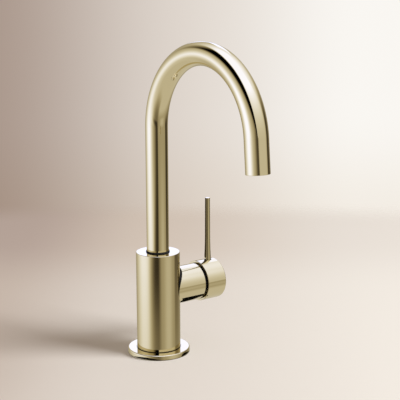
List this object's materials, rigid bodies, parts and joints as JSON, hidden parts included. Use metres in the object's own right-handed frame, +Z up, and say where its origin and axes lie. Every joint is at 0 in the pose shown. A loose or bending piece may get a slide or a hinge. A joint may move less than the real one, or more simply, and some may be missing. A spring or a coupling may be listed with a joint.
{
  "type": "gooseneck bar faucet",
  "caption": "Slim deck-mounted bar faucet with a tall gooseneck spout that swivels, a round column body and a side lever on a round hub.",
  "frame": {"origin": "on the body's axis at deck level, in the plane of the base plate's underside", "axes": "+Z up along the body, -Y towards the spout's outlet, +X along the valve axis towards the lever's hub"},
  "size_m": [0.1025, 0.1956, 0.3817],
  "materials": {
    "pale_gold": "soft polished pale gold plating",
    "cast_brass": "machined bare brass",
    "steel": "plain stainless",
    "rubber": "matte black rubber",
    "white_plastic": "moulded acetal",
    "grey_plastic": "moulded glass-filled plastic",
    "ceramic": "lapped alumina ceramic"
  },
  "bodies": {
    "body": {"base_plate": "pale_gold", "base_gasket": "rubber", "mounting_shank": "cast_brass", "deck_rubber_washer": "rubber", "deck_steel_washer": "steel", "mounting_nut": "cast_brass", "nut_screw_1": "steel", "nut_screw_2": "steel", "nut_screw_3": "steel", "body_shell": "pale_gold", "waterway_core": "cast_brass", "spout_glide_ring": "white_plastic", "port_seal_hot": "rubber", "port_seal_cold": "rubber", "port_seal_mixed": "rubber", "cartridge_base": "white_plastic", "cartridge_barrel": "grey_plastic", "ceramic_disc_fixed": "ceramic", "bonnet_nut": "cast_brass", "dome_cap": "steel"},
    "spout": {"spout_tube": "pale_gold", "spout_adapter": "cast_brass", "spout_o_ring_lower": "rubber", "spout_o_ring_upper": "rubber", "spout_snap_ring": "steel", "outlet_insert": "cast_brass", "aerator_body": "white_plastic", "aerator_screen": "steel", "flow_regulator": "grey_plastic", "aerator_gasket": "rubber"},
    "stem_guide_turning": {"stem_guide": "white_plastic", "guide_o_ring": "rubber", "stem_pin": "steel"},
    "disc_slider": {"disc_carrier": "grey_plastic", "ceramic_disc_moving": "ceramic"},
    "handle": {"cartridge_stem": "steel", "handle_hub": "pale_gold", "lever_rod": "pale_gold", "hub_set_screw": "steel", "hub_screw_plug": "cast_brass"}
  },
  "joints": [
    {"name": "spout_swivel", "type": "hinge", "parent": "body", "child": "spout", "pos_m": [0, 0, 0.0936], "axis": [0, 0, 1], "continuous": true},
    {"name": "lever_temperature", "type": "hinge", "parent": "body", "child": "stem_guide_turning", "pos_m": [0.0426, 0, 0.0652], "axis": [1, 0, 0], "range_deg": [-45, 45]},
    {"name": "lever_flow", "type": "hinge", "parent": "stem_guide_turning", "child": "handle", "pos_m": [0.0426, 0, 0.0652], "axis": [0, 1, 0], "range_deg": [0, 20]},
    {"name": "disc_slide", "type": "slide", "parent": "stem_guide_turning", "child": "disc_slider", "axis": [0, 0, 1], "range_m": [0, 0.0042]}
  ],
  "couplings": [
    {"joint": "disc_slide", "follows": "lever_flow", "m_per_rad": 0.0114}
  ]
}
